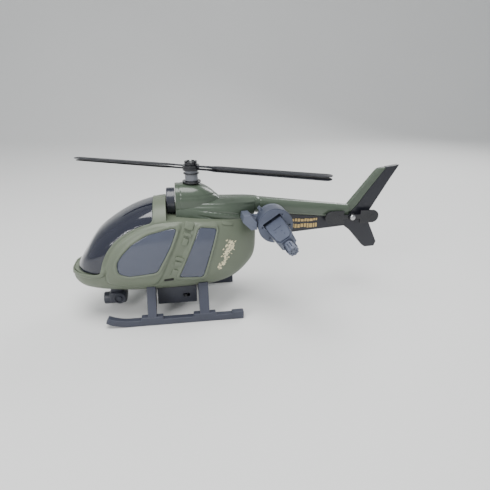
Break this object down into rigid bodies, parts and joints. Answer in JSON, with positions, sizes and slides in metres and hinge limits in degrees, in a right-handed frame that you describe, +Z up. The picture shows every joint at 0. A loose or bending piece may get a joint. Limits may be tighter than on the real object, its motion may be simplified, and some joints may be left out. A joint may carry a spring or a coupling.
{
  "type": "toy_helicopter",
  "caption": "Toy scout helicopter in olive drab with an egg-shaped cabin, smoked windshield, folding main rotor, tail rotor, skids and a swinging side gun on the port flank.",
  "frame": {"origin": "on the floor under the middle of the whole model, gun and rotor included; the centre plane of the fuselage lies 2.3 mm from it towards starboard", "axes": "+X towards the tail, +Y towards the starboard side, +Z up"},
  "size_m": [0.349, 0.1512, 0.1591],
  "materials": {
    "olive_body": "fine matte grain",
    "olive_gloss": "satin to glossy moulding",
    "charcoal_plastic": "satin charcoal moulding",
    "gear_plastic": "matte blue-black moulding",
    "gunmetal_plastic": "satin blue-grey moulding",
    "grey_plastic": "satin grey moulding",
    "black_gloss": "glossy black moulding",
    "smoked_screen": "dark smoked, polished",
    "tinted_pane": "clear grey tint, polished",
    "clear_lens": "clear, polished",
    "cabin_trim": "matte dark moulding",
    "lamp_white": "milky lamp body",
    "cell_steel": "nickel-plated steel",
    "steel_pin": "bright drawn steel",
    "screw_steel": "zinc-plated steel",
    "spring_steel": "rolled spring strip",
    "contact_brass": "plated brass strip",
    "speaker_black": "moulded frame with a paper cone",
    "board_green": "solder-masked laminate"
  },
  "bodies": {
    "fuselage": {"fuselage_port": "olive_body", "fuselage_starboard": "olive_body", "windshield": "smoked_screen", "door_window_port": "tinted_pane", "door_window_starboard": "tinted_pane", "rear_window_port": "tinted_pane", "rear_window_starboard": "tinted_pane", "cabin_floor": "cabin_trim", "pilot_seats": "cabin_trim", "rear_bench": "cabin_trim", "instrument_panel": "cabin_trim", "engine_cowl": "olive_gloss", "intake_grille": "charcoal_plastic", "tail_boom": "olive_gloss", "tail_frame": "charcoal_plastic", "mast_bearing": "black_gloss", "tail_rotor_pin": "steel_pin", "nose_pod": "charcoal_plastic", "pod_lens": "clear_lens", "pod_lamp": "lamp_white", "sound_box": "charcoal_plastic", "battery_door": "charcoal_plastic", "button_cells": "cell_steel", "battery_contacts": "contact_brass", "speaker": "speaker_black", "circuit_board": "board_green", "skid_port": "gear_plastic", "skid_starboard": "gear_plastic", "front_strut": "gear_plastic", "rear_strut": "gear_plastic", "gun_bracket": "gunmetal_plastic", "body_screws": "screw_steel", "battery_door_screw": "screw_steel"},
    "main_rotor": {"rotor_mast": "grey_plastic", "mast_washer": "black_gloss", "lower_rotor_hub": "black_gloss", "rotor_blade_1": "black_gloss", "rotor_blade_2": "black_gloss", "rotor_cap": "black_gloss"},
    "upper_rotor": {"upper_rotor_hub": "black_gloss", "rotor_blade_3": "black_gloss", "rotor_blade_4": "black_gloss"},
    "tail_rotor_body": {"tail_rotor": "black_gloss"},
    "switch": {"power_switch": "black_gloss"},
    "drum": {"gun_drum": "gunmetal_plastic", "gun_hinge_pin": "steel_pin"},
    "gun": {"gun_housing": "gunmetal_plastic", "plate_spring": "spring_steel"},
    "plate": {"gun_press_plate": "gunmetal_plastic"},
    "barrels": {"gun_barrels": "gunmetal_plastic"}
  },
  "joints": [
    {"name": "rotor_spin", "type": "hinge", "parent": "fuselage", "child": "main_rotor", "pos_m": [-0.0496, 0.00341, 0.137], "axis": [-0.0175, 0, 0.9998], "continuous": true},
    {"name": "rotor_fold", "type": "hinge", "parent": "main_rotor", "child": "upper_rotor", "pos_m": [-0.0496, 0.00341, 0.137], "axis": [-0.0175, 0, 0.9998], "range_deg": [0, 80]},
    {"name": "tail_rotor_spin", "type": "hinge", "parent": "fuselage", "child": "tail_rotor_body", "pos_m": [0.1243, 0.00341, 0.0958], "axis": [0, 1, 0], "continuous": true},
    {"name": "switch_slide", "type": "slide", "parent": "fuselage", "child": "switch", "axis": [1, 0, 0], "range_m": [0, 0.0028]},
    {"name": "gun_turn", "type": "hinge", "parent": "fuselage", "child": "drum", "pos_m": [0.03, -0.0306, 0.1012], "axis": [0, 1, 0], "range_deg": [-55, 65]},
    {"name": "gun_swing", "type": "hinge", "parent": "drum", "child": "gun", "pos_m": [0.03, -0.0306, 0.1012], "axis": [0.8192, 0, 0.5736], "range_deg": [-15, 70]},
    {"name": "barrel_spin", "type": "hinge", "parent": "gun", "child": "barrels", "pos_m": [0.03, -0.0306, 0.1012], "axis": [0.1962, -0.9397, -0.2802], "continuous": true},
    {"name": "plate_press", "type": "slide", "parent": "gun", "child": "plate", "axis": [0.539, 0.342, -0.7698], "range_m": [0, 0.001], "stiffness_N_per_m": 300, "springref_m": -0.0005}
  ]
}
